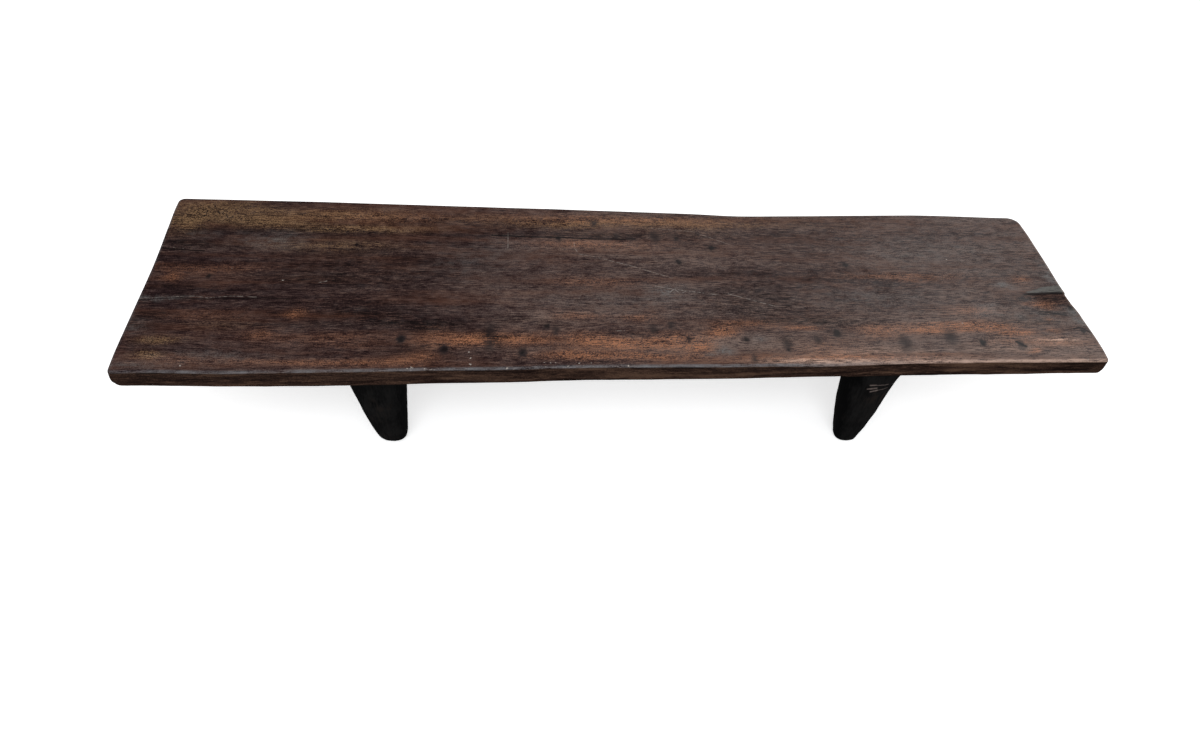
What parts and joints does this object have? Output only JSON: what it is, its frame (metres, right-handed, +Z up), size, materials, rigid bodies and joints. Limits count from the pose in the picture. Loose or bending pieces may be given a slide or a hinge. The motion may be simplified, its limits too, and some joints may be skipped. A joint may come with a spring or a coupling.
{
  "type": "senufo daybed",
  "caption": "Low hewn daybed: a long, slightly tapered and dished hardwood board on tapered black legs tenoned into its underside.",
  "frame": {"origin": "on the floor under the middle of the whole daybed's bounding box", "axes": "+X along the board from its wide end to its narrow end, +Y across the board towards the back, +Z up"},
  "size_m": [2.0144, 0.543, 0.3149],
  "materials": {
    "board_wood": "dark brown, worn and rubbed to a low sheen, open grain along the board",
    "leg_wood": "near black stain, low sheen, carved surface"
  },
  "bodies": {
    "root": {"bed_board": "board_wood", "front_left_leg": "leg_wood", "rear_left_leg": "leg_wood", "front_right_leg": "leg_wood", "rear_right_leg": "leg_wood"}
  },
  "joints": []
}
